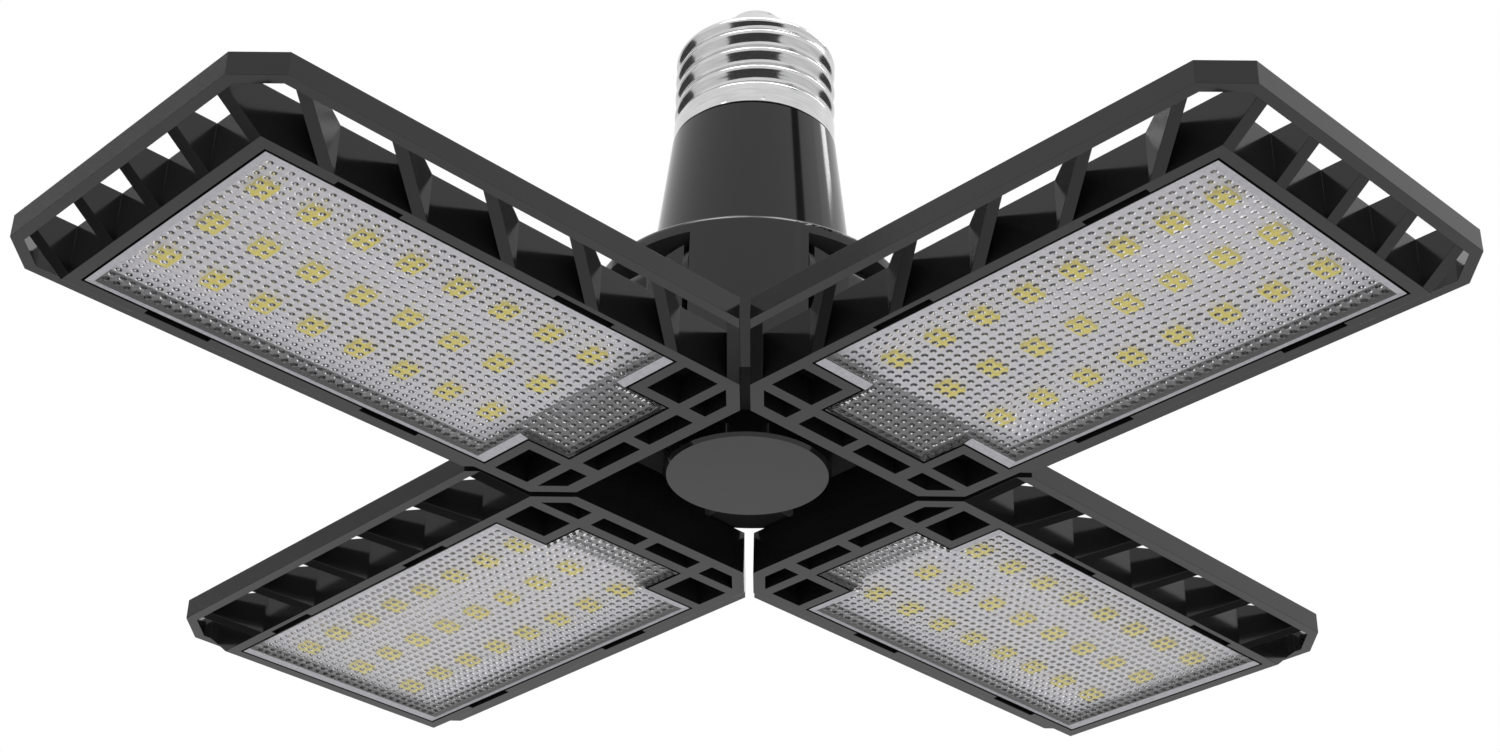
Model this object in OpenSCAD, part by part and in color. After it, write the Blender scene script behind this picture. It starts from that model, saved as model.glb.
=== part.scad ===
// Garage ceiling light with a screw cap, a round hub and four hinged light panels.
// Origin: centre of the plane where the screw cap meets the neck.
// +Z runs up the axis of the cap. The panels point along +X, +Y, -X and -Y.
// Each panel is drawn pointing along +X with its light face at height 0, then set in place.
// All sizes are in millimetres.

/* [Screw cap] */
// Radius over the crests of the cap's screw thread
cap_radius = 13.1; // [12.6:0.1:13.3]
// Height of the shell's straight wall above the mount plane
cap_wall_height = 16.2; // [15.4:0.1:16.8]
// Thickness of the shell's sheet metal
cap_sheet = 0.5; // [0.4:0.05:0.6]
// Radius of the hole in the top of the shell
cap_hole_radius = 9.5; // [8.5:0.1:10]
// Height of the shell's top face above the mount plane
cap_top_height = 17.8; // [17.6:0.1:19]
// Height of the insulator's top face above the mount plane
insulator_top = 24.2; // [22.5:0.1:24.6]
// Radius of the round contact
contact_radius = 4.4; // [3.8:0.1:4.8]
// Height of the contact's straight rim
contact_rim = 1.2; // [0.8:0.1:1.6]
// Rise of the contact's dome above its rim
contact_dome = 1.1; // [0.8:0.1:1.4]

/* [Neck] */
// Outer radius of the neck at the mount plane
neck_top_radius = 13.3; // [13.2:0.1:14]
// Outer radius of the neck at the hub
neck_foot_radius = 16.4; // [15.6:0.1:18]
// Wall thickness of the neck
neck_wall = 1.8; // [1.4:0.1:2.2]
// Height of the spigot that fills the lower part of the cap
neck_spigot_height = 11; // [8:0.5:12]

/* [Hub] */
// Outer radius of the hub
hub_radius = 24.7; // [24.2:0.1:25.2]
// Height of the hub
hub_height = 26.8; // [26.2:0.1:27.4]
// Height of the hub's underside above the panels' light faces
hub_clearance = 7.6; // [7.5:0.1:8.2]
// Radius of the hub's rounded top edge
hub_edge = 1.2; // [0.8:0.1:2]
// Half of the width of each notch
notch_half_width = 10.1; // [10:0.1:10.3]
// Gap between the arm and the back wall and ceiling of its notch
notch_clearance = 0.35; // [0.3:0.05:0.4]
// Radius of the hub's inner cavity
cavity_radius = 12.7; // [12.4:0.1:12.8]
// Radius of the round cover under the hub
cover_radius = 12.7; // [12.4:0.1:12.8]
// Drop of the cover's face below the hub's underside
cover_drop = 4.2; // [3:0.1:5]
// Wall thickness of the cover
cover_wall = 1.6; // [1.2:0.1:2]

/* [Hinge] */
// Distance of each hinge axis from the lamp's axis
hinge_reach = 19.3; // [19.2:0.1:19.4]
// Height of the hinge axes above the panels' light faces
hinge_height = 26.9; // [26.7:0.1:27]
// Radius of the round knuckle on the panel's arm
knuckle_radius = 4.6; // [4.2:0.1:4.7]
// Radius of the arm's curved outer face, measured from the lamp's axis
arm_face_radius = 24; // [23.8:0.1:24.1]
// Half of the width of the panel's arm
arm_half_width = 8.7; // [8.4:0.1:8.8]
// Radius of the hinge pin
pin_radius = 1.48; // [1.4:0.02:1.6]
// Half of the length of the hinge pin
pin_half_length = 12.2; // [11.8:0.1:12.4]
// Thickness of the friction washers
washer_thickness = 1.2; // [1:0.05:1.25]
// Outer radius of the friction washers
washer_radius = 3.4; // [3:0.1:3.8]

/* [Light panel] */
// Height of the mount plane above the panels' light faces
mount_height = 64; // [63.9:0.1:64.1]
// Half of the width of the panel's tray
tray_half_width = 22.4; // [22.2:0.1:22.8]
// Distance from the lamp's axis to the tray's inner end
tray_inner_end = 18.5; // [18.4:0.1:19]
// Distance from the lamp's axis to the tray's outer end
tray_outer_end = 103.3; // [102.8:0.1:104]
// Height of the tray's inner end, which passes under the hub
tray_height = 7.2; // [6.9:0.1:7.3]
// Height of the tray's raised edge and of the ribs, beyond the hub
edge_height = 7.5; // [7.4:0.02:7.64]
// Height of the tray's closed back above the light face, inside its raised edge
back_face = 5.6; // [5.4:0.1:5.8]
// Thickness of the tray's closed back
back_thickness = 1.4; // [1.2:0.1:1.6]
// Width of the tray's raised edge, seen from the back
back_edge = 2; // [1.4:0.1:2.4]
// Distance between the cut corners of neighbouring panels, along an axis
mitre_gap = 1.04; // [0.8:0.02:1.4]

/* [Open rim] */
// Distance from the lamp's axis to the rim's outer end
rim_outer_end = 110.4; // [110:0.1:111]
// Half of the width over the rim
rim_half_width = 29.7; // [29.4:0.1:30.2]
// Size of the rim's cut outer corners
rim_corner = 5.3; // [4.5:0.1:6]
// Height of the rim's lower edge above the light face
rim_bottom = 4.2; // [4:0.1:4.6]
// Height of the rim's upper edge above the light face
rim_top = 7.64; // [7.4:0.02:7.7]
// Wall thickness of the rim
rim_wall = 1.7; // [1.4:0.1:1.8]
// Width of each rib, measured along the tray's wall
rib_width = 2.4; // [1.6:0.1:2.6]
// Distance between two ribs on the long sides
side_rib_pitch = 14.33; // [14.2:0.01:14.36]
// Distance from the lamp's axis to the first long-side rib
side_rib_first = 36.3; // [36:0.1:36.6]
// Number of ribs on each long side
side_rib_count = 5; // [3:1:5]
// How far a long-side rib leans outward on its way to the rim
side_rib_lean = 7.9; // [4:0.1:8.2]
// Width of each rib on the outer end
end_rib_width = 2; // [1.6:0.1:2.2]
// Thickness of the web along each cut corner
corner_web = 1.7; // [1.4:0.1:2.2]

/* [Back of the panel] */
// Width of the low cooling ribs on the tray's back
cooling_rib_width = 1.4; // [1:0.1:2]
// Distance between two cooling ribs
cooling_rib_pitch = 6; // [5:0.5:8]
// Distance from the lamp's axis to the cooling ribs' inner ends
cooling_rib_start = 34; // [32:0.5:40]

/* [Diffuser] */
// Thickness of the diffuser at its edge
diffuser_thickness = 1.6; // [1.4:0.1:1.8]
// Half of the width of the diffuser
diffuser_half_width = 20.4; // [20.2:0.1:20.6]
// Distance from the lamp's axis to the diffuser's outer end
diffuser_outer_end = 101.2; // [100.8:0.1:101.4]
// Distance from the lamp's axis to the diffuser's shoulders
diffuser_shoulder = 33.8; // [33.6:0.1:34]
// Distance from the lamp's axis to the end of the diffuser's tongue
tongue_end = 26; // [25.8:0.1:26.4]
// Half of the width of the diffuser's tongue
tongue_half_width = 10.5; // [10.2:0.1:10.6]
// Gap all round the diffuser
diffuser_gap = 0.22; // [0.14:0.02:0.3]
// Width of the ledge that the diffuser rests on
ledge = 1.2; // [1:0.1:1.4]
// Length of each snap slot beside the diffuser
snap_length = 10; // [6:0.5:12]
// Width of each snap slot
snap_width = 0.9; // [0.6:0.1:1.1]

/* [Light source] */
// Thickness of the circuit board
board_thickness = 1; // [0.8:0.1:1.2]
// Length of a light-emitting chip, along the panel
led_length = 2.8; // [2.4:0.1:3.4]
// Width of a light-emitting chip, across the panel
led_width = 3.5; // [2.8:0.1:3.6]
// Height of a light-emitting chip
led_height = 0.7; // [0.5:0.1:0.9]
// Number of chips along the panel
led_columns = 8; // [4:1:8]
// Number of rows of chips across the panel
led_rows = 3; // [1:1:3]
// Distance from the lamp's axis to the first column of chips
led_first = 40.4; // [39:0.1:41]
// Distance between two columns of chips
led_column_pitch = 7.83; // [7:0.01:7.9]
// Distance between two rows of chips
led_row_pitch = 10.85; // [8:0.05:13]

/* [Driver] */
// Thickness of the driver's circuit board
driver_board_thickness = 1.6; // [1.2:0.2:2]
// Half of the width of the driver's circuit board
driver_board_half_width = 10.4; // [9.8:0.1:10.4]
// Radius of the supply wires
wire_radius = 0.6; // [0.4:0.1:0.8]

/* [Hidden] */
$fn = 64;

// Angles that bring a panel drawn along +X to each side of the lamp
angle_right = 0;
angle_back = 90;
angle_left = 180;
angle_front = 270;

cut = 1;
slack = 0.05;
hub_underside = hub_clearance - mount_height;
hub_top = hub_underside + hub_height;
hinge_level = hinge_height - mount_height;
notch_ceiling = hinge_level + arm_face_radius - hinge_reach + notch_clearance;
notch_back = hinge_reach - knuckle_radius - notch_clearance;
cap_inner_radius = cap_radius - cap_sheet;
cap_shoulder = 1.4;
cap_shoulder_radius = cap_radius - cap_shoulder;
insulator_flange = cap_hole_radius + 1.4;
insulator_flange_height = 0.9;
insulator_foot = cap_top_height - cap_sheet - insulator_flange_height;
insulator_tip_radius = contact_radius + 0.6;
insulator_tip_bevel = 1.2;
insulator_tip_drop = 0.8;
thread_depth = 0.9;
spigot_radius = cap_inner_radius - thread_depth;
neck_roof = 1.6;
neck_spigot_wall = 1.2;
neck_bevel = 0.5;
neck_plug_depth = 5;
neck_plug_wall = 1.3;
neck_plug_radius = cavity_radius - slack;
cover_plug_radius = 11.2;
cover_plug_height = 3;
cover_plug_wall = 1.4;
cover_bevel = 0.5;
hub_lip_height = 1.6;
hub_lip_radius = cover_plug_radius + slack;
board_top = -5;
board_foot = hub_underside + 5.2;
guide_width = 1;
guide_grip = 1.2;
guide_root = 0.4;
guide_top = -3;
driver_face = driver_board_thickness / 2;
transformer_height = board_foot + 17;
film_capacitor_foot = board_foot + 20;
resistor_height = board_foot + 15;
capacitor_height = board_top - 6;
choke_height = board_top - 7.5;
choke_offset = 4.2;
rectifier_offset = -4;
shell_wire_reach = 9.2;
shell_wire_height = 13.5;
wire_room = 0.1;
knuckle_bore = pin_radius + 0.07;
cavity_top = back_face - back_thickness;
board_face = cavity_top - board_thickness;
rib_foot = 0.4;
slope_run = 1.6;
snap_first = diffuser_shoulder + 12;
snap_last = diffuser_outer_end - 10 - snap_length;
arm_taper = 7;
cooling_rib_root = 0.2;
cooling_rib_pairs = 3;
window_rib = 2;
window_edge = 1.9;
inner_window_start = tray_inner_end + 2.2;
inner_window_end = inner_window_start + 3.1;
outer_window_start = inner_window_end + 1.9;
outer_window_end = diffuser_shoulder - 2;
side_window_start = tongue_half_width + 2.1;
inner_window_side = tongue_half_width - 0.4;
rim_gap = rim_half_width - rim_wall - tray_half_width;
end_gap = rim_outer_end - rim_wall - tray_outer_end;
end_rib_pairs = 2;
end_rib_pitch = (tray_half_width - end_rib_width / 2) / end_rib_pairs;
back_recess_start = tray_inner_end + 7.5;

// One supply wire hole in the neck's roof
module wire_hole(distance, radius) {
  translate([distance, 0, -neck_roof - cut])
    cylinder(r = radius, h = neck_roof + 2 * cut);
}

// Places a panel drawn along +X on one of the four sides
module on_side(side) {
  rotate([0, 0, side])
    translate([0, 0, -mount_height])
      children();
}

// Extrudes an outline drawn in the plane of reach and height, centred across the panel
module across(half_width) {
  rotate([90, 0, 0])
    linear_extrude(height = 2 * half_width, center = true)
      children();
}

// A box between two reaches, two distances across and two heights
module box(reach_low, reach_high, side_low, side_high, low, high) {
  translate([reach_low, side_low, low])
    cube([reach_high - reach_low, side_high - side_low, high - low]);
}

// The same box on both sides of the panel's centre line
module box_pair(reach_low, reach_high, side_low, side_high, low, high) {
  box(reach_low, reach_high, side_low, side_high, low, high);
  box(reach_low, reach_high, -side_high, -side_low, low, high);
}

// ---- Screw cap ----

// Straight wall and a rounded shoulder, with a wide hole in the top
module screw_shell() {
  shoulder_rise = cap_top_height - cap_wall_height;
  color([0.80, 0.79, 0.76])
    rotate_extrude()
      polygon([
        [cap_inner_radius, 0],
        [cap_radius, 0],
        [cap_radius, cap_wall_height],
        [cap_shoulder_radius + cap_shoulder * cos(45), cap_wall_height + shoulder_rise * sin(45)],
        [cap_shoulder_radius, cap_top_height],
        [cap_hole_radius, cap_top_height],
        [cap_hole_radius, cap_top_height - cap_sheet],
        [cap_shoulder_radius - cap_sheet / 2, cap_top_height - cap_sheet],
        [cap_inner_radius, cap_wall_height - cap_sheet / 2]
      ]);
}

// Cone that holds the contact, clamped under the shell's top
module cap_insulator() {
  color([0.06, 0.06, 0.07])
    rotate_extrude()
      polygon([
        [wire_radius + wire_room, insulator_foot],
        [insulator_flange, insulator_foot],
        [insulator_flange, insulator_foot + insulator_flange_height],
        [cap_hole_radius - slack, insulator_foot + insulator_flange_height],
        [cap_hole_radius - slack, cap_top_height],
        [insulator_tip_radius + insulator_tip_bevel, insulator_top - insulator_tip_drop],
        [insulator_tip_radius, insulator_top],
        [wire_radius + wire_room, insulator_top]
      ]);
}

// A low dome: the top of a ball that meets the straight rim at the contact's radius
module centre_contact() {
  ball = (contact_radius * contact_radius + contact_dome * contact_dome) / (2 * contact_dome);
  dome_foot = insulator_top + contact_rim;
  color([0.78, 0.76, 0.72])
    intersection() {
      translate([0, 0, insulator_top])
        cylinder(r = contact_radius, h = contact_rim + contact_dome + cut);
      union() {
        translate([0, 0, dome_foot + contact_dome - ball])
          sphere(r = ball);
        translate([0, 0, insulator_top])
          cylinder(r = contact_radius, h = contact_rim);
      }
    }
}

// ---- Neck and hub ----

// Tapered tube with a spigot inside the cap and a plug inside the hub
module neck_housing() {
  color([0.05, 0.05, 0.055])
    difference() {
      union() {
        rotate_extrude()
          polygon([
            [neck_plug_radius - neck_plug_wall, hub_top - neck_plug_depth],
            [neck_plug_radius, hub_top - neck_plug_depth],
            [neck_plug_radius, hub_top],
            [neck_foot_radius, hub_top],
            [neck_top_radius, -neck_bevel],
            [neck_top_radius - neck_bevel, 0],
            [spigot_radius, 0],
            [spigot_radius, neck_spigot_height],
            [spigot_radius - neck_spigot_wall, neck_spigot_height],
            [spigot_radius - neck_spigot_wall, 0],
            [0, 0],
            [0, -neck_roof],
            [neck_top_radius - neck_wall, -neck_roof]
          ]);
        board_guides();
      }
      wire_hole(0, wire_radius + 10 * wire_room);
      wire_hole(shell_wire_reach, wire_radius + 3 * wire_room);
    }
}

// Four upright rails that hold the driver board by its long edges
module board_guides() {
  guide_outer = neck_top_radius - neck_wall + guide_root;
  for (turn = [0, 180])
    rotate([0, 0, turn])
      box_pair(driver_board_half_width - guide_grip, guide_outer, driver_face,
        driver_face + guide_width, hub_top + guide_width, guide_top);
}

// Round body with a rounded top edge, a through cavity, four notches and eight blind pin holes
module hub_body() {
  color([0.055, 0.055, 0.06])
    difference() {
      translate([0, 0, hub_underside])
        rotate_extrude()
          union() {
            square([hub_radius, hub_height - hub_edge]);
            square([hub_radius - hub_edge, hub_height]);
            translate([hub_radius - hub_edge, hub_height - hub_edge])
              intersection() {
                circle(r = hub_edge);
                square([hub_edge, hub_edge]);
              }
          }
      translate([0, 0, hub_underside + hub_lip_height])
        cylinder(r = cavity_radius, h = hub_height);
      translate([0, 0, hub_underside - cut])
        cylinder(r = hub_lip_radius, h = hub_height);
      for (side = [angle_right, angle_back, angle_left, angle_front])
        rotate([0, 0, side]) {
          box(notch_back, hub_radius + cut, -notch_half_width, notch_half_width,
            hub_underside - cut, notch_ceiling);
          translate([hinge_reach, 0, hinge_level])
            rotate([90, 0, 0])
              cylinder(r = pin_radius + 0.02, h = 2 * pin_half_length, center = true);
        }
    }
}

// Shallow round boss with a snap-in ring above it
module bottom_cover() {
  face = hub_underside - cover_drop;
  color([0.07, 0.07, 0.075])
    rotate_extrude()
      polygon([
        [0, face],
        [cover_radius - cover_bevel, face],
        [cover_radius, face + cover_bevel],
        [cover_radius, hub_underside],
        [cover_plug_radius, hub_underside],
        [cover_plug_radius, hub_underside + cover_plug_height],
        [cover_plug_radius - cover_plug_wall, hub_underside + cover_plug_height],
        [cover_plug_radius - cover_plug_wall, face + cover_wall],
        [0, face + cover_wall]
      ]);
}

// ---- Driver in the neck ----

module driver_board() {
  color([0.75, 0.68, 0.45])
    box(-driver_board_half_width, driver_board_half_width, -driver_face, driver_face,
      board_foot, board_top);
}

// Tall wound core with a wider winding band round its middle
module driver_transformer() {
  core_half = 5;
  core_depth = 6.8;
  core_half_height = 10;
  band = 1;
  band_half_height = 2;
  color([0.75, 0.60, 0.12])
    translate([0, driver_face, transformer_height])
      union() {
        box(-core_half - band, core_half + band, 0, core_depth + band,
          -band_half_height, band_half_height);
        box(-core_half, core_half, 0, core_depth, -core_half_height, core_half_height);
      }
}

module driver_capacitor() {
  can_radius = 4;
  can_length = 8;
  color([0.10, 0.10, 0.12])
    translate([0, driver_face, capacitor_height])
      rotate([-90, 0, 0])
        cylinder(r = can_radius, h = can_length);
}

// Bobbin with a disc at each end
module driver_choke() {
  core_radius = 2.2;
  disc_radius = 3.2;
  disc_thickness = 1;
  bobbin_length = 6;
  color([0.08, 0.08, 0.09])
    translate([choke_offset, -driver_face, choke_height])
      rotate([90, 0, 0])
        union() {
          cylinder(r = core_radius, h = bobbin_length);
          for (foot = [0, bobbin_length - disc_thickness])
            translate([0, 0, foot])
              cylinder(r = disc_radius, h = disc_thickness);
        }
}

module driver_rectifier() {
  package = 5;
  package_thickness = 2.4;
  color([0.07, 0.07, 0.07])
    box(rectifier_offset - package / 2, rectifier_offset + package / 2,
      -driver_face - package_thickness, -driver_face, choke_height - package / 2,
      choke_height + package / 2);
}

module driver_film_capacitor() {
  half_length = 4.5;
  depth = 4.5;
  height = 7;
  color([0.60, 0.10, 0.08])
    box(-half_length, half_length, -driver_face - depth, -driver_face, film_capacitor_foot,
      film_capacitor_foot + height);
}

// Resistor on two short leads, lying across the board
module fuse_resistor() {
  body_radius = 1.4;
  body_half_length = 4;
  lead = 0.7;
  lead_reach = 5;
  stand_off = body_radius + 0.6;
  color([0.35, 0.55, 0.40])
    translate([0, -driver_face, resistor_height])
      union() {
        translate([-body_half_length, -stand_off, 0])
          rotate([0, 90, 0])
            cylinder(r = body_radius, h = 2 * body_half_length);
        for (end = [-lead_reach, lead_reach - lead])
          box(end, end + lead, -stand_off - lead / 2, 0, -lead / 2, lead / 2);
        box(-lead_reach, lead_reach, -stand_off - lead / 2, -stand_off + lead / 2,
          -lead / 2, lead / 2);
      }
}

// One wire to the centre contact and one to the inside of the shell
module supply_leads() {
  color([0.70, 0.08, 0.06])
    union() {
      translate([0, 0, board_top])
        cylinder(r = wire_radius, h = insulator_top - board_top);
      translate([shell_wire_reach, 0, board_top])
        cylinder(r = wire_radius, h = shell_wire_height - board_top);
      translate([shell_wire_reach - wire_radius, 0, shell_wire_height])
        rotate([0, 90, 0])
          cylinder(r = wire_radius, h = spigot_radius - slack - shell_wire_reach + wire_radius);
    }
}

// ---- Hinge ----

module hinge_pin(side) {
  color([0.72, 0.73, 0.75])
    on_side(side)
      translate([hinge_reach, 0, hinge_height])
        rotate([90, 0, 0])
          cylinder(r = pin_radius, h = 2 * (pin_half_length - slack), center = true);
}

module friction_washers(side) {
  middle = (arm_half_width + notch_half_width) / 2;
  color([0.15, 0.15, 0.16])
    on_side(side)
      for (edge = [-1, 1])
        translate([hinge_reach, edge * middle, hinge_height])
          rotate([90, 0, 0])
            difference() {
              cylinder(r = washer_radius, h = washer_thickness, center = true);
              cylinder(r = knuckle_bore, h = washer_thickness + cut, center = true);
            }
}

// ---- Light panel ----

// Everything outward of the two cut-corner planes
module mitre_outline() {
  far = 200;
  polygon([[mitre_gap, 0], [far, far - mitre_gap], [far, mitre_gap - far]]);
}

module tray_outline() {
  intersection() {
    translate([tray_inner_end, -tray_half_width])
      square([tray_outer_end - tray_inner_end, 2 * tray_half_width]);
    mitre_outline();
  }
}

// Diffuser outline, grown (or shrunk, when negative) by the given margin
module diffuser_outline(margin) {
  wide = diffuser_half_width + margin;
  narrow = tongue_half_width + margin;
  polygon([
    [tongue_end - margin, -narrow],
    [diffuser_shoulder - margin, -narrow],
    [diffuser_shoulder - margin, -wide],
    [diffuser_outer_end + margin, -wide],
    [diffuser_outer_end + margin, wide],
    [diffuser_shoulder - margin, wide],
    [diffuser_shoulder - margin, narrow],
    [tongue_end - margin, narrow]
  ]);
}

// Rim outline with cut outer corners, moved inward by the given margin
module rim_outline(margin) {
  reach = rim_outer_end - margin;
  half = rim_half_width - margin;
  corner = rim_corner - margin * (2 - sqrt(2));
  polygon([
    [0, -half],
    [reach - corner, -half],
    [reach, corner - half],
    [reach, half - corner],
    [reach - corner, half],
    [0, half]
  ]);
}

// Blind pockets moulded into the tray's inner end, around the diffuser's tongue
module tray_pockets() {
  box_pair(outer_window_start, outer_window_end, side_window_start, diffuser_half_width,
    -cut, cavity_top);
  box_pair(inner_window_start, inner_window_end, window_rib / 2, inner_window_side,
    -cut, cavity_top);
  corner_edge = mitre_gap + window_edge * sqrt(2);
  for (edge = [-1, 1])
    translate([0, 0, -cut])
      linear_extrude(height = cavity_top + cut)
        polygon([
          [inner_window_start, edge * side_window_start],
          [inner_window_end, edge * side_window_start],
          [inner_window_end, edge * (inner_window_end - corner_edge)],
          [inner_window_start, edge * (inner_window_start - corner_edge)]
        ]);
}

// Two slots beside each long edge of the diffuser, for its snap hooks
module snap_slots() {
  inside = diffuser_half_width + diffuser_gap;
  for (start = [snap_first, snap_last])
    box_pair(start, start + snap_length, inside - cut, inside + snap_width, -cut, diffuser_thickness);
}

module tray() {
  difference() {
    linear_extrude(height = edge_height)
      tray_outline();
    box(0, back_recess_start, -rim_half_width, rim_half_width, tray_height, edge_height + cut);
    translate([0, 0, -cut])
      linear_extrude(height = diffuser_thickness + cut)
        diffuser_outline(diffuser_gap);
    translate([0, 0, diffuser_thickness])
      linear_extrude(height = cavity_top - diffuser_thickness)
        diffuser_outline(-ledge);
    tray_pockets();
    snap_slots();
    box(back_recess_start, tray_outer_end - back_edge, back_edge - tray_half_width,
      tray_half_width - back_edge, back_face, edge_height + cut);
  }
}

// Plan of one long-side rib: it leans outward from the tray to the rim
module side_rib_plan(foot) {
  polygon([
    [foot - rib_width / 2 - rib_foot * side_rib_lean / rim_gap, tray_half_width - rib_foot],
    [foot + rib_width / 2 - rib_foot * side_rib_lean / rim_gap, tray_half_width - rib_foot],
    [foot + rib_width / 2 + side_rib_lean, tray_half_width + rim_gap],
    [foot - rib_width / 2 + side_rib_lean, tray_half_width + rim_gap]
  ]);
}

// Plan of the web along a cut corner, from the tray out to the rim
module corner_web_plan() {
  web = corner_web * sqrt(2);
  foot = tray_half_width - rib_foot;
  tip = rim_half_width - rim_wall / 2;
  polygon([
    [mitre_gap + foot, foot],
    [mitre_gap + foot + web, foot],
    [mitre_gap + tip + web, tip],
    [mitre_gap + tip, tip]
  ]);
}

// All ribs, full height, before their lower edges are cut to a slope
module rib_blanks() {
  linear_extrude(height = edge_height) {
    for (edge = [0, 1])
      mirror([0, edge]) {
        for (rib = [0 : side_rib_count - 1])
          side_rib_plan(side_rib_first + rib * side_rib_pitch);
        corner_web_plan();
      }
      for (rib = [-end_rib_pairs : end_rib_pairs])
      translate([tray_outer_end - rib_foot, rib * end_rib_pitch - end_rib_width / 2])
        square([end_gap + rib_foot, end_rib_width]);
  }
}

// Wedge over a gap, rising to the rim's lower edge at the rim and running on past it
module slope_outline(gap) {
  polygon([[0, 0], [gap * slope_run, rim_bottom * slope_run], [gap * slope_run, -cut], [0, -cut]]);
}

// Wedge under the long-side ribs
module side_slope() {
  translate([0, tray_half_width, 0])
    rotate([90, 0, 90])
      linear_extrude(height = tray_outer_end)
        slope_outline(rim_gap);
}

// Wedge under the outer end's ribs
module end_slope() {
  translate([tray_outer_end, 0, 0])
    across(rim_half_width)
      slope_outline(end_gap);
}

module ribs() {
  difference() {
    rib_blanks();
    side_slope();
    mirror([0, 1, 0])
      side_slope();
    end_slope();
  }
}

module rim() {
  translate([0, 0, rim_bottom])
    linear_extrude(height = rim_top - rim_bottom)
      intersection() {
        difference() {
          rim_outline(0);
          rim_outline(rim_wall);
        }
        mitre_outline();
      }
}

module cooling_ribs() {
  for (rib = [-cooling_rib_pairs : cooling_rib_pairs])
    translate([0, rib * cooling_rib_pitch, 0])
      box(cooling_rib_start, tray_outer_end - back_edge / 2, -cooling_rib_width / 2,
        cooling_rib_width / 2, back_face - cooling_rib_root, rim_top);
}

// Side view of the arm: upright, with a round knuckle about the hinge
module arm_profile() {
  inner = hinge_reach - knuckle_radius;
  polygon([
    [tray_inner_end, cavity_top],
    [arm_face_radius, cavity_top],
    [arm_face_radius, hinge_height],
    [inner, hinge_height],
    [inner, hinge_height - knuckle_radius],
    [tray_inner_end, hinge_height - knuckle_radius - arm_taper]
  ]);
  translate([hinge_reach, hinge_height])
    circle(r = knuckle_radius);
}

// Arm whose outer face carries on the hub's round wall
module hinge_arm() {
  difference() {
    intersection() {
      across(arm_half_width)
        arm_profile();
      cylinder(r = arm_face_radius, h = mount_height);
    }
    translate([hinge_reach, 0, hinge_height])
      rotate([90, 0, 0])
        cylinder(r = knuckle_bore, h = 2 * arm_half_width + cut, center = true);
  }
}

module panel_frame(side) {
  color([0.055, 0.055, 0.06])
    on_side(side)
      union() {
        tray();
        ribs();
        rim();
        cooling_ribs();
        hinge_arm();
      }
}

module diffuser(side) {
  color([0.85, 0.85, 0.88, 0.6])
    on_side(side)
      linear_extrude(height = diffuser_thickness)
        diffuser_outline(0);
}

module led_board(side) {
  margin = ledge + 0.2;
  color([0.92, 0.92, 0.90])
    on_side(side)
      box(diffuser_shoulder + margin, diffuser_outer_end - margin, margin - diffuser_half_width,
        diffuser_half_width - margin, board_face, cavity_top);
}

module leds(side) {
  color([0.90, 0.85, 0.25])
    on_side(side)
      for (column = [0 : led_columns - 1])
        for (row = [0 : led_rows - 1])
          translate([led_first + column * led_column_pitch, (row - (led_rows - 1) / 2) * led_row_pitch,
            board_face - led_height / 2])
            cube([led_length, led_width, led_height], center = true);
}

// ---- Drawing ----

screw_shell();
cap_insulator();
centre_contact();
neck_housing();
hub_body();
bottom_cover();
driver_board();
driver_transformer();
driver_capacitor();
driver_choke();
driver_rectifier();
driver_film_capacitor();
fuse_resistor();
supply_leads();
hinge_pin(angle_right);  // hinge_pin_right
hinge_pin(angle_back);  // hinge_pin_back
hinge_pin(angle_left);  // hinge_pin_left
hinge_pin(angle_front);  // hinge_pin_front
friction_washers(angle_right);  // friction_washers_right
friction_washers(angle_back);  // friction_washers_back
friction_washers(angle_left);  // friction_washers_left
friction_washers(angle_front);  // friction_washers_front
panel_frame(angle_right);  // panel_frame_right
panel_frame(angle_back);  // panel_frame_back
panel_frame(angle_left);  // panel_frame_left
panel_frame(angle_front);  // panel_frame_front
diffuser(angle_right);  // diffuser_right
diffuser(angle_back);  // diffuser_back
diffuser(angle_left);  // diffuser_left
diffuser(angle_front);  // diffuser_front
led_board(angle_right);  // led_board_right
led_board(angle_back);  // led_board_back
led_board(angle_left);  // led_board_left
led_board(angle_front);  // led_board_front
leds(angle_right);  // leds_right
leds(angle_back);  // leds_back
leds(angle_left);  // leds_left
leds(angle_front);  // leds_front
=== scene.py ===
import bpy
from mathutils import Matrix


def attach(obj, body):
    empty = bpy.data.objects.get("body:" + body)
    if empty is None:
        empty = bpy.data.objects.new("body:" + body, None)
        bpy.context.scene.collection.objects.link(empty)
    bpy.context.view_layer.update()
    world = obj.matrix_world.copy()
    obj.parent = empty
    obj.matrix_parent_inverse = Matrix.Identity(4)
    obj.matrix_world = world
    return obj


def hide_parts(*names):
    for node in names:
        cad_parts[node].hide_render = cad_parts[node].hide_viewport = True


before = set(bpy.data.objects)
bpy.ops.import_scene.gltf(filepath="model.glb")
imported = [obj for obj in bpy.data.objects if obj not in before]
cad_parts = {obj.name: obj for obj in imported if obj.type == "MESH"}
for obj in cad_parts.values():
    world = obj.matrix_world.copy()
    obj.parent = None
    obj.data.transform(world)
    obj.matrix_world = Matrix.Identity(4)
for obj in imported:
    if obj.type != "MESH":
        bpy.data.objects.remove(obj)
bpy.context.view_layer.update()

import bmesh
import bpy
import numpy as np
from mathutils import Matrix, Vector

mm = 0.001
sides = ["right", "back", "left", "front"]
lightFace = -64.0 * mm  # height of the panels' light faces

# the photograph's camera, which looks up from below: angles in degrees, distance in metres
camera = {
    "azimuth": 46.081, "elevation": 28.382, "distance": 0.37374,
    "roll": 1.176, "pan": 0.070, "tilt": 2.760,
    "lens": 60.03, "sensor": 36, "nearest": 0.01,
}


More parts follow.
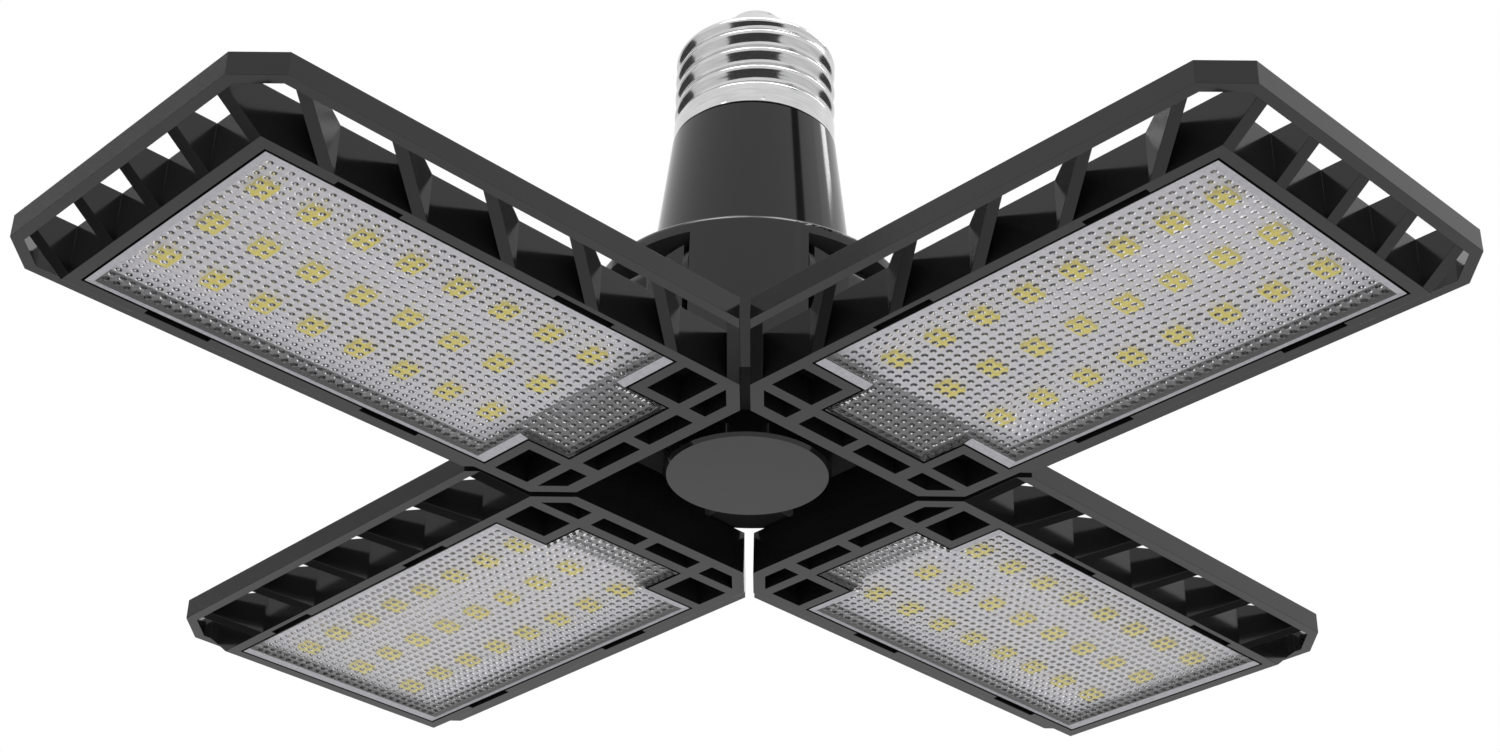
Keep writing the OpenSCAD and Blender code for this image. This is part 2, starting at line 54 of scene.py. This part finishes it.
def turned(first, second, degrees):
    # the first direction swung towards the second by an angle, and the second after it
    angle = np.radians(degrees)
    return (first * np.cos(angle) + second * np.sin(angle),
            second * np.cos(angle) - first * np.sin(angle))


def makeCamera():
    a, e = np.radians(camera["azimuth"]), np.radians(camera["elevation"])
    away = np.array([np.sin(a) * np.cos(e), -np.cos(a) * np.cos(e), -np.sin(e)])
    forward = -away
    right = np.cross(forward, [0, 0, 1])
    right /= np.linalg.norm(right)
    up = np.cross(right, forward)
    right, up = turned(right, up, camera["roll"])
    forward, right = turned(forward, right, camera["pan"])
    forward, up = turned(forward, up, camera["tilt"])
    place = away * camera["distance"] + np.array([0, 0, lightFace])
    data = bpy.data.cameras.new("camera")
    data.lens = camera["lens"]
    data.sensor_width = camera["sensor"]
    data.clip_start = camera["nearest"]
    shot = bpy.data.objects.new("camera", data)
    bpy.context.collection.objects.link(shot)
    turn = np.eye(4)
    turn[:3] = np.stack([right, up, -forward, place], 1)
    shot.matrix_world = Matrix(turn.tolist())
    bpy.context.scene.camera = shot


makeCamera()


def linear(hexColour):
    # sRGB to linear: c / 12.92 up to 0.04045, above it ((c + 0.055) / 1.055) to the power 2.4
    parts = [int(hexColour[i:i + 2], 16) / 255 for i in (1, 3, 5)]
    return [c / 12.92 if c <= 0.04045 else ((c + 0.055) / 1.055) ** 2.4 for c in parts] + [1.0]


def addNode(tree, kind, settings=None, inputs=None, links=None):
    # one node with its settings, its fixed inputs and the sockets that feed it
    node = tree.nodes.new(kind)
    for name, value in (settings or {}).items():
        setattr(node, name, value)
    for name, value in (inputs or {}).items():
        node.inputs[name].default_value = value
    for name, socket in (links or {}).items():
        tree.links.new(socket, node.inputs[name])
    return node


def ramp(tree, socket, places, colours):
    # a colour ramp through hex colours at their places
    node = addNode(tree, "ShaderNodeValToRGB", links={"Fac": socket})
    for element, place, colour in zip(node.color_ramp.elements, places, colours):
        element.position = place
        element.color = linear(colour)
    return node.outputs["Color"]


def material(name, settings, build=None):
    # a Principled material; build adds the procedural part to it
    made = bpy.data.materials.new(name)
    made.use_nodes = True
    tree = made.node_tree
    shader = tree.nodes["Principled BSDF"]
    for key, value in settings.items():
        shader.inputs[key].default_value = linear(value) if isinstance(value, str) else value
    if build:
        place = addNode(tree, "ShaderNodeTexCoord").outputs["Object"]
        build(tree, shader, place)
    return made


def patternScale(size):
    # cells a metre, for a pattern whose cells are so many millimetres wide
    return 1 / (size * mm)


def addNoise(tree, place, size, detail):
    return addNode(tree, "ShaderNodeTexNoise", links={"Vector": place},
                   inputs={"Scale": patternScale(size), "Detail": detail}).outputs["Fac"]


def addBump(tree, shader, height, strength, relief):
    bump = addNode(tree, "ShaderNodeBump", links={"Height": height},
                   inputs={"Strength": strength, "Distance": relief * mm})
    tree.links.new(bump.outputs["Normal"], shader.inputs["Normal"])


moulded = {"flowDetail": 3.0, "grainDetail": 2.0, "spread": (0.3, 0.7), "relief": 0.05}
speckled = {"detail": 4.0, "spread": (0.35, 0.65), "bump": 0.15, "relief": 0.04}


def mouldedFinish(flow, grain, colours, roughness, bump):
    # moulded plastic: faint flow clouds in colour, drifting gloss and a shallow skin grain;
    # flow and grain are widths in millimetres, colours and roughness go from low to high
    def build(tree, shader, place):
        clouds = addNoise(tree, place, flow, moulded["flowDetail"])
        tree.links.new(ramp(tree, clouds, moulded["spread"], colours), shader.inputs["Base Color"])
        gloss = addNode(tree, "ShaderNodeMapRange", links={"Value": clouds},
                        inputs={"To Min": roughness[0], "To Max": roughness[1]})
        tree.links.new(gloss.outputs["Result"], shader.inputs["Roughness"])
        skin = addNoise(tree, place, grain, moulded["grainDetail"])
        addBump(tree, shader, skin, bump, moulded["relief"])
    return build


def speckledFinish(grain, colours, stretch=(1, 1, 1)):
    # fine grains of two colours, so many millimetres wide; a stretch below 1 draws them out
    def build(tree, shader, place):
        drawn = addNode(tree, "ShaderNodeMapping", inputs={"Scale": stretch},
                        links={"Vector": place}).outputs["Vector"]
        grains = addNoise(tree, drawn, grain, speckled["detail"])
        tree.links.new(ramp(tree, grains, speckled["spread"], colours), shader.inputs["Base Color"])
        addBump(tree, shader, grains, speckled["bump"], speckled["relief"])
    return build


finishKinds = {
    # injection-moulded ABS, glossy black: mirrors its white surroundings weakly, more at a slant
    "glossBlackAbs": ({"IOR": 1.43, "Roughness": 0.12},
                      mouldedFinish(22, 1.1, ("#131314", "#181819"), (0.09, 0.17), 0.06)),
    # the hub's own moulding, a little smoother than the panels
    "polishedBlackAbs": ({"IOR": 1.46, "Roughness": 0.10},
                         mouldedFinish(18, 1.4, ("#101011", "#151516"), (0.06, 0.13), 0.04)),
    # spark-eroded skin inside the notches: dull, with a pale grey colour that is painted light,
    # lifting the shade the recesses would have
    "satinBlackAbs": ({"IOR": 1.48, "Roughness": 0.55, "Specular IOR Level": 0.3},
                      mouldedFinish(12, 0.8, ("#49494b", "#525254"), (0.5, 0.6), 0.05)),
    # coarse-textured hub underside: nearly no gloss, so it stays deep black
    "coarseBlackAbs": ({"IOR": 1.45, "Roughness": 0.8, "Specular IOR Level": 0.1},
                       mouldedFinish(12, 0.8, ("#1e1e1f", "#242425"), (0.75, 0.85), 0.08)),
    # clear polystyrene sheet, very slightly milky, with moulded prisms: bends what lies behind it
    "prismaticPolystyrene": ({"Base Color": "#fdfcff", "IOR": 1.49, "Roughness": 0.03,
                              "Specular IOR Level": 0.12, "Transmission Weight": 0.98},),
    # the sheet's unpatterned border, frosted from the mould; its plain light grey is painted shade
    "frostedPolystyrenePaintedShade": ({"IOR": 1.49, "Roughness": 0.4},
                           speckledFinish(0.5, ("#a09fa5", "#aeadb3"))),
    # the sheet's cut edge in dull black: painted shade, so the gap round the sheet stays dark
    "edgeBlackPaintedShade": ({"IOR": 1.41, "Roughness": 0.6},
                     mouldedFinish(4, 0.6, ("#101011", "#161617"), (0.55, 0.65), 0.05)),
    # white solder mask on aluminium board: even, faintly glossy white
    "whiteSolderMask": ({"IOR": 1.5, "Roughness": 0.35},
                        speckledFinish(0.6, ("#eeedf2", "#f8f8fb"))),
    # yellow phosphor gel in its package: matt, strong yellow, with a faint painted glow from its
    # emission
    "yellowPhosphorPaintedGlow": ({"IOR": 1.45, "Roughness": 0.4,
                        "Emission Color": "#e8d400", "Emission Strength": 0.14},
                       speckledFinish(0.4, ("#e2d000", "#efdf10"))),
    # nickel-plated pressed brass: bright, neutral-grey mirror with faint draw marks
    "nickelPlate": ({"Metallic": 1.0, "Roughness": 0.14},
                    speckledFinish(0.8, ("#c4c4c5", "#d2d2d3"), (0.2, 0.2, 2.0))),
    # tinned contact: bright and slightly rough from pressing
    "tinnedContact": ({"Metallic": 1.0, "Roughness": 0.24},
                      speckledFinish(0.5, ("#cececf", "#dcdcdd"))),
    # pale vitreous insulator: grey-white, wet-looking gloss
    "paleInsulator": ({"IOR": 1.52, "Roughness": 0.08},
                      mouldedFinish(9, 0.7, ("#b8b8ba", "#c6c6c8"), (0.05, 0.12), 0.05)),
    # drawn steel pin: grey metal with fine grain
    "drawnSteel": ({"Metallic": 1.0, "Roughness": 0.3},
                   speckledFinish(0.3, ("#9da0a4", "#b6b9bd"))),
    # acetal washer: dull dark grey
    "acetalWasher": ({"IOR": 1.48, "Roughness": 0.45},
                     mouldedFinish(5, 0.5, ("#232325", "#2c2c2e"), (0.4, 0.5), 0.1)),
    # paper laminate of the driver board: pale tan with short fibres
    "paperLaminate": ({"IOR": 1.5, "Roughness": 0.5},
                      speckledFinish(0.5, ("#b89f62", "#c9b277"), (1, 1, 0.3))),
    # polyester tape over the transformer: smooth amber
    "polyesterTape": ({"IOR": 1.55, "Roughness": 0.25},
                      speckledFinish(1.5, ("#c99b12", "#d9ad22"))),
    # shrink sleeve of the capacitor: dark blue-black satin
    "shrinkSleeve": ({"IOR": 1.5, "Roughness": 0.3},
                     mouldedFinish(6, 0.6, ("#15161d", "#1c1d26"), (0.25, 0.35), 0.05)),
    # sintered ferrite: dark grey, dry and grainy
    "sinteredFerrite": ({"IOR": 1.6, "Roughness": 0.7},
                        speckledFinish(0.3, ("#2b2b2d", "#3a3a3c"))),
    # epoxy chip package: matt black
    "epoxyPackage": ({"IOR": 1.55, "Roughness": 0.55},
                     speckledFinish(0.3, ("#1b1b1b", "#262626"))),
    # dipped film capacitor: orange-red, lacquer smooth
    "dippedLacquer": ({"IOR": 1.5, "Roughness": 0.2},
                      mouldedFinish(4, 0.6, ("#8e2616", "#a2301d"), (0.15, 0.25), 0.08)),
    # cement coat of the resistor: dull green, slightly gritty
    "cementCoat": ({"IOR": 1.5, "Roughness": 0.6},
                   speckledFinish(0.3, ("#5c7a60", "#6d8c70"))),
    # PVC wire sleeve: soft red satin
    "pvcSleeve": ({"IOR": 1.53, "Roughness": 0.4},
                  mouldedFinish(5, 0.6, ("#8c1a16", "#a3231d"), (0.35, 0.45), 0.05)),
}
finishes = {name: material(name, *kind) for name, kind in finishKinds.items()}

nodeFinish = {
    "screw_shell": "nickelPlate", "cap_insulator": "paleInsulator",
    "centre_contact": "tinnedContact", "neck_housing": "polishedBlackAbs",
    "hub_body": "polishedBlackAbs", "bottom_cover": "polishedBlackAbs",
    "driver_board": "paperLaminate", "driver_transformer": "polyesterTape",
    "driver_capacitor": "shrinkSleeve", "driver_choke": "sinteredFerrite",
    "driver_rectifier": "epoxyPackage", "driver_film_capacitor": "dippedLacquer",
    "fuse_resistor": "cementCoat", "supply_leads": "pvcSleeve", "hinge_pin": "drawnSteel",
    "friction_washers": "acetalWasher", "panel_frame": "glossBlackAbs",
    "diffuser": "prismaticPolystyrene", "led_board": "whiteSolderMask", "leds": "yellowPhosphorPaintedGlow",
}

for nodeName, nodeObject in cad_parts.items():
    family = nodeName
    for side in sides:
        family = family.removesuffix("_" + side)
    nodeObject.data.materials.clear()
    nodeObject.data.materials.append(finishes[nodeFinish[family]])
print("materials on", len(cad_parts), "nodes")


def meshPiece(name, points, faces, finish, body, smooth=False):
    # points (n, 3) in metres and a list of faces made into one object that rides on a body
    mesh = bpy.data.meshes.new(name)
    mesh.from_pydata(points.tolist(), [], faces)
    mesh.validate()
    mesh.materials.append(finishes[finish])
    mesh.polygons.foreach_set("use_smooth", [smooth] * len(mesh.polygons))
    piece = bpy.data.objects.new(name, mesh)
    bpy.context.collection.objects.link(piece)
    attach(piece, body)
    return piece


def onSide(points, side):
    # points drawn for the panel along +X, turned by a quarter turn for each side
    turn = np.radians(90 * sides.index(side))
    x, y = points[:, 0], points[:, 1]
    return np.stack([x * np.cos(turn) - y * np.sin(turn),
                     x * np.sin(turn) + y * np.cos(turn), points[:, 2]], 1)


def ringFaces(rows, columns):
    # quads of a grid whose last column joins the first; point index is row * columns + column
    row, column = np.meshgrid(np.arange(rows - 1), np.arange(columns), indexing="ij")
    after = (column + 1) % columns
    quads = np.stack([row * columns + column, row * columns + after,
                      (row + 1) * columns + after, (row + 1) * columns + column], -1)
    return quads.reshape(-1, 4).tolist()


# mouldings with rounded edges: bevel widths and merging distance in millimetres, angles in degrees
softEdge = {
    "widths": {"panel_frame": 0.12, "hub_body": 0.25}, "angle": 15, "segments": 2,
    "merge": 0.002, "levelWithin": 1.0,
}


def softened(nodeName, family, body):
    # a copy of a CAD moulding, its loose triangles merged and its edges rounded by a small bevel
    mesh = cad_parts[nodeName].data.copy()
    if "custom_normal" in mesh.attributes:
        mesh.attributes.remove(mesh.attributes["custom_normal"])  # they belong to loose triangles
    piece = bpy.data.objects.new(nodeName + "_moulding", mesh)
    bpy.context.collection.objects.link(piece)
    work = bmesh.new()
    work.from_mesh(mesh)
    bmesh.ops.remove_doubles(work, verts=work.verts, dist=softEdge["merge"] * mm)
    bmesh.ops.dissolve_limit(work, angle_limit=np.radians(softEdge["levelWithin"]),
                             verts=work.verts, edges=work.edges)
    work.to_mesh(mesh)
    work.free()
    bevel = piece.modifiers.new("edges", "BEVEL")
    bevel.width = softEdge["widths"][family] * mm
    bevel.segments = softEdge["segments"]
    bevel.limit_method = "ANGLE"
    bevel.angle_limit = np.radians(softEdge["angle"])
    bevel.use_clamp_overlap = True
    bevel.harden_normals = True
    mesh.polygons.foreach_set("use_smooth", [True] * len(mesh.polygons))
    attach(piece, body)
    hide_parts(nodeName)
    return piece


# where the hub's skin changes, in millimetres: each notch's back, half width and ceiling, and
# the underside's level and how near to it a face lies, all within the radius
hubSkin = {
    "notchBack": 14.15, "notchHalf": 10.3, "notchCeiling": -31.85,
    "underside": -56.4, "near": 0.3, "radius": 24.45, "facingDown": -0.9,
}


def insideSkinsPaintedLight(piece):
    # faces within a notch take the satin skin, whose pale colour is painted light, and level faces
    # of the underside the coarse one
    mesh = piece.data
    mesh.materials.append(finishes["satinBlackAbs"])
    mesh.materials.append(finishes["coarseBlackAbs"])
    for face in mesh.polygons:
        x, y, z = face.center / mm
        reach, aside = max(abs(x), abs(y)), min(abs(x), abs(y))
        if np.hypot(x, y) > hubSkin["radius"]:
            continue
        isLevel = face.normal.z < hubSkin["facingDown"]
        if isLevel and abs(z - hubSkin["underside"]) < hubSkin["near"]:
            face.material_index = 2
        # notch faces get the pale skin, painted light in their colour
        elif (reach > hubSkin["notchBack"] and aside < hubSkin["notchHalf"]
              and z < hubSkin["notchCeiling"]):
            face.material_index = 1


for side in sides:
    softened("panel_frame_" + side, "panel_frame", "panel_" + side)
insideSkinsPaintedLight(softened("hub_body", "hub_body", "hub"))
print("mouldings softened")

# the screw cap, in millimetres: radii, and heights above its foot
cap = {
    "crest": 13.08, "root": 12.2, "sheet": 0.35, "pitch": 3.63,
    "threadFoot": 3.6, "threadTop": 16.2, "top": 17.8, "hole": 9.5,
    "lead": 0.3, "fadeIn": 1.2, "fadeOut": 1.3,  # how the thread runs in and out
    "columns": 192, "wallRows": 150, "bendRows": 12, "lidRows": 5,
    "punches": [(-66.1, 0.46), (-38.0, 0.68)],  # angle in degrees and height
    "punchDepth": 0.2, "punchTurn": 2.0, "punchHeight": 0.26,
}


def punchDepth(angle, height):
    # two dents: depth times exp(-(angle / turn) squared - (height / height) squared)
    depth = 0
    for degrees, middle in cap["punches"]:
        aside = (angle - np.radians(degrees)) / np.radians(cap["punchTurn"])
        above = (height - middle) / cap["punchHeight"]
        depth = depth + cap["punchDepth"] * np.exp(-aside ** 2 - above ** 2)
    return depth


def makeScrewCap():
    # radius: the crest less half the thread's depth times 1 - cos(2 pi (z / pitch - t / 2 pi)),
    # faded in and out at the thread's ends; above it the wall rounds in along a quarter circle
    angle = np.linspace(-np.pi, np.pi, cap["columns"], endpoint=False)[None, :]
    height = np.linspace(0, cap["threadTop"], cap["wallRows"])[:, None]
    phase = (height - cap["threadFoot"]) / cap["pitch"] - angle / (2 * np.pi)
    fade = (np.clip((height - cap["threadFoot"] + cap["lead"]) / cap["fadeIn"], 0, 1)
            * np.clip((cap["threadTop"] - height) / cap["fadeOut"], 0, 1))
    depth = (cap["crest"] - cap["root"]) * fade * 0.5 * (1 - np.cos(2 * np.pi * phase))
    wall = cap["crest"] - depth - punchDepth(angle, height)
    bend = cap["top"] - cap["threadTop"]
    sweep = np.linspace(0, np.pi / 2, cap["bendRows"])[1:, None]
    shoulderRadius = cap["crest"] - bend * (1 - np.cos(sweep)) + 0 * angle
    shoulderHeight = cap["threadTop"] + bend * np.sin(sweep)
    lid = np.linspace(cap["crest"] - bend, cap["hole"], cap["lidRows"])[1:, None] + 0 * angle
    outer = np.concatenate([wall, shoulderRadius, lid])
    level = np.concatenate([height + 0 * angle, shoulderHeight + 0 * angle,
                            np.full_like(lid, cap["top"])])
    inner = outer - cap["sheet"]
    inner[-len(lid):] = lid
    innerLevel = level - np.clip((level - cap["threadTop"]) / bend, 0, 1) * cap["sheet"]
    radius = np.concatenate([outer, inner[::-1], outer[:1]])
    levels = np.concatenate([level, innerLevel[::-1], level[:1]])
    points = np.stack([radius * np.cos(angle), radius * np.sin(angle), levels], -1)
    points = points.reshape(-1, 3) * mm
    rows = len(radius)
    faces = ringFaces(rows, cap["columns"])
    last = (rows - 1) * cap["columns"]  # the last row is the first one again
    faces = [[i - last if i >= last else i for i in face] for face in faces]
    piece = meshPiece("threaded_screw_shell", points[:last], faces, "nickelPlate", "hub",
                      smooth=True)
    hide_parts("screw_shell")


makeScrewCap()
print("screw cap made")

# the light covers, in millimetres, drawn for the panel along +X
diffuser = {
    "outer": 101.05, "half": 20.25, "shoulder": 33.95, "tongueEnd": 26.15, "tongueHalf": 10.35,
    "rim": 0.35, "edgeRow": 0.9, "strip": 1.5, "endStrip": 1.2, "thickness": 1.6,
    "flat": 0.3, "face": 0.02,  # heights above the light face of the sheet and of the bumps' tips
    "tongueLines": 6, "fieldLines": 42, "middleLines": 14, "sideLines": 7,
    "rings": [(0.54, 0.3), (0.26, 0.08)],  # each bump's rings: radius and height
    "ringPoints": 8, "firstPoint": -135,
}


def latticeLines():
    # cells about 1.6 mm square; lines fall on the shoulders and on the tongue's sides
    d = diffuser
    tongue = np.linspace(d["tongueEnd"] + d["rim"], d["shoulder"], d["tongueLines"])
    field = np.linspace(d["shoulder"] + d["strip"], d["outer"] - d["endStrip"], d["fieldLines"])
    along = np.concatenate([[d["tongueEnd"]], tongue, field, [d["outer"]]])
    middle = np.linspace(-d["tongueHalf"], d["tongueHalf"], d["middleLines"])
    side = np.linspace(d["tongueHalf"], d["half"] - d["rim"] - d["edgeRow"], d["sideLines"])[1:]
    half = np.concatenate([side, [d["half"] - d["rim"], d["half"]]])
    return along, np.concatenate([-half[::-1], middle, half])


def makeDiffuser(side):
    # a flat sheet with one low bump in every patterned cell of its lower face: two rings of
    # points at r (cos t, sin t) and a tip; a rim slopes down to the face along the outline, and
    # the rim, the row beside it, the outer end and the strips at the shoulders are plain
    d = diffuser
    along, across = latticeLines()
    nu, nv = len(along) - 1, len(across) - 1
    u, v = np.meshgrid(along, across, indexing="ij")
    cellU, cellV = (u[:-1, :-1] + u[1:, 1:]) / 2, (v[:-1, :-1] + v[1:, 1:]) / 2
    solid = (cellU > d["shoulder"]) | (np.abs(cellV) < d["tongueHalf"])
    frosted = (cellU < d["shoulder"] + d["strip"]) & (np.abs(cellV) > d["tongueHalf"])
    frosted[-1, :] = frosted[:, 0] = frosted[:, -1] = True
    plain = frosted.copy()
    plain[0, :] = plain[:, 1] = plain[:, -2] = True
    bump, plain = solid & ~plain, solid & plain
    around = np.zeros((nu + 2, nv + 2), bool)
    around[1:-1, 1:-1] = solid
    outline = ~(around[:-1, :-1] & around[1:, :-1] & around[:-1, 1:] & around[1:, 1:])
    lower = np.stack([u, v, np.where(outline, d["face"], d["flat"])], -1)
    upper = np.stack([u, v, np.full_like(u, d["thickness"])], -1)
    count = d["ringPoints"]
    turns = np.radians(np.arange(count) * 360 / count + d["firstPoint"])
    rings = [np.stack([cellU + radius * np.cos(t), cellV + radius * np.sin(t),
                       np.full_like(cellU, height)], -1)
             for radius, height in d["rings"] for t in turns]
    tips = np.stack([cellU, cellV, np.full_like(cellU, d["face"])], -1)
    points = np.concatenate([part.reshape(-1, 3) for part in [lower, upper, *rings, tips]]) * mm
    points[:, 2] += lightFace

    # point numbers: lower and upper lattice, then the outer ring, the inner ring and the tips
    index = np.arange((nu + 1) * (nv + 1)).reshape(nu + 1, nv + 1)
    total, cells = index.size, np.arange(nu * nv).reshape(nu, nv)
    corners = [index[:-1, :-1], index[1:, :-1], index[1:, 1:], index[:-1, 1:]]
    foot = [2 * total + k * nu * nv + cells for k in range(count)]
    middle = [2 * total + (count + k) * nu * nv + cells for k in range(count)]
    tip = 2 * total + 2 * count * nu * nv + cells

    border = frosted & solid & (cellU > d["shoulder"])
    faces = np.stack(corners[::-1], -1)[border].tolist()
    borderFaces = len(faces)
    faces += np.stack(corners[::-1], -1)[plain & ~border].tolist()
    faces += (np.stack(corners, -1)[solid] + total).tolist()
    for k, corner in enumerate(corners):
        after, near, far = corners[(k + 1) % 4], 2 * k + 1, (2 * k + 2) % count
        faces += np.stack([after, corner, foot[near]], -1)[bump].tolist()
        faces += np.stack([corner, foot[2 * k], foot[near]], -1)[bump].tolist()
        faces += np.stack([after, foot[near], foot[far]], -1)[bump].tolist()
    for k in range(count):
        after = (k + 1) % count
        faces += np.stack([foot[after], foot[k], middle[k], middle[after]], -1)[bump].tolist()
        faces += np.stack([middle[after], middle[k], tip], -1)[bump].tolist()
    openFaces = len(faces)
    a, b, c, e = corners
    for beyond, first, second in [(around[:-2, 1:-1], a, e), (around[2:, 1:-1], c, b),
                                  (around[1:-1, :-2], b, a), (around[1:-1, 2:], e, c)]:
        wall = np.stack([second, first, first + total, second + total], -1)
        faces += wall[solid & ~beyond].tolist()

    used = np.unique(np.concatenate([np.ravel(face) for face in faces]))
    renumber = np.zeros(len(points), int)
    renumber[used] = np.arange(len(used))
    faces = [renumber[face].tolist() for face in faces]
    piece = meshPiece("bumped_diffuser_" + side, onSide(points[used], side), faces,
                      "prismaticPolystyrene", "panel_" + side)
    # the plain border takes a frosted finish whose grey is painted shade
    piece.data.materials.append(finishes["frostedPolystyrenePaintedShade"])
    # the sheet's side walls take a dull black that is painted shade
    piece.data.materials.append(finishes["edgeBlackPaintedShade"])
    kinds = np.zeros(len(faces), np.int32)
    kinds[:borderFaces], kinds[openFaces:] = 1, 2
    piece.data.polygons.foreach_set("material_index", kinds)
    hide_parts("diffuser_" + side)


for side in sides:
    makeDiffuser(side)
print("diffusers made")

# floor, light and background, in metres, degrees and watts
studio = {
    "floor": -0.85, "floorReach": 60.0, "worldLight": 0.9, "reach": 0.62, "flagLines": 9,
    # lamps: where they hang seen from the cap, in degrees round from the camera and up, how far,
    # and then width, height and power
    "lamps": [("leftKeyLight", -52, 74, 1.0, 0.4, 0.4, 2.5),
              ("rightKeyLight", 70, 74, 1.0, 0.4, 0.4, 2.5),
              ("stripLight", 119, 50, 0.62, 0.09, 0.22, 0.3)],
    # flags that only the gloss shows: degrees round from the camera, then up, from and to, and
    # the cloth's colour
    "flags": [("frontFlag", -36, 36, -58, -2, "#454545"),
              ("rightFlag", 100, 136, -55, 6, "#454545"),
              ("leftFlag", -128, -90, -55, 6, "#454545"),
              ("neckFlag", 56, 68, 41, 62, "#454545"),
              ("wallFlag", -120, -82, 10, 32, "#bcbcbc")],
}


def fromCap(azimuth, elevation, reach):
    turn, up = np.radians(camera["azimuth"] + azimuth), np.radians(elevation)
    return np.array([np.sin(turn) * np.cos(up), -np.cos(turn) * np.cos(up), np.sin(up)]) * reach


def makeLamps():
    for name, azimuth, elevation, reach, width, height, power in studio["lamps"]:
        data = bpy.data.lights.new(name, "AREA")
        data.shape = "RECTANGLE"
        data.size, data.size_y = width, height
        data.energy = power
        lamp = bpy.data.objects.new(name, data)
        lamp.location = fromCap(azimuth, elevation, reach)
        lamp.rotation_euler = (-Vector(lamp.location)).to_track_quat("-Z", "Y").to_euler()
        bpy.context.collection.objects.link(lamp)


def addStage(name, points, faces, finish):
    # an object of the studio, which isn't part of the lamp
    mesh = bpy.data.meshes.new(name)
    mesh.from_pydata(points, [], faces)
    mesh.materials.append(finish)
    thing = bpy.data.objects.new(name, mesh)
    bpy.context.collection.objects.link(thing)
    return thing


def makeFlags():
    lines = studio["flagLines"]
    starts = [row * lines + k for row in range(lines - 1) for k in range(lines - 1)]
    faces = [[i, i + 1, i + lines + 1, i + lines] for i in starts]
    for name, fromSide, toSide, low, high, colour in studio["flags"]:
        cloth = material(name + "Cloth", {"Base Color": colour, "Roughness": 1.0,
                                          "Specular IOR Level": 0.0})
        points = [fromCap(azimuth, elevation, studio["reach"]).tolist()
                  for elevation in np.linspace(low, high, lines)
                  for azimuth in np.linspace(fromSide, toSide, lines)]
        flag = addStage(name, points, faces, cloth)
        flag.visible_camera = flag.visible_diffuse = False
        flag.visible_shadow = flag.visible_transmission = False


def makeFloor():
    reach = studio["floorReach"]
    corners = [(-reach, -reach, 0), (reach, -reach, 0), (reach, reach, 0), (-reach, reach, 0)]
    finish = material("paleFloor", {"Base Color": "#f2f2f2", "Roughness": 0.9})
    floor = addStage("floor", corners, [(0, 1, 2, 3)], finish)
    floor.location.z = studio["floor"]


def makeWorld():
    # a white background of strength 1 to the camera, gloss and clear pieces; softer to the rest
    world = bpy.data.worlds.new("studio")
    world.use_nodes = True
    bpy.context.scene.world = world
    tree = world.node_tree
    rays = addNode(tree, "ShaderNodeLightPath").outputs
    either = {"operation": "MAXIMUM"}
    seen = addNode(tree, "ShaderNodeMath", either,
                   links={0: rays["Is Camera Ray"], 1: rays["Is Glossy Ray"]})
    seenAll = addNode(tree, "ShaderNodeMath", either,
                      links={0: seen.outputs[0], 1: rays["Is Transmission Ray"]})
    level = addNode(tree, "ShaderNodeMapRange", links={"Value": seenAll.outputs[0]},
                    inputs={"To Min": studio["worldLight"], "To Max": 1.0})
    background = tree.nodes["Background"]
    background.inputs["Color"].default_value = (1, 1, 1, 1)
    tree.links.new(level.outputs["Result"], background.inputs["Strength"])


makeLamps()
makeFlags()
makeFloor()
makeWorld()
bpy.context.scene.view_settings.view_transform = "Standard"
print("studio made")
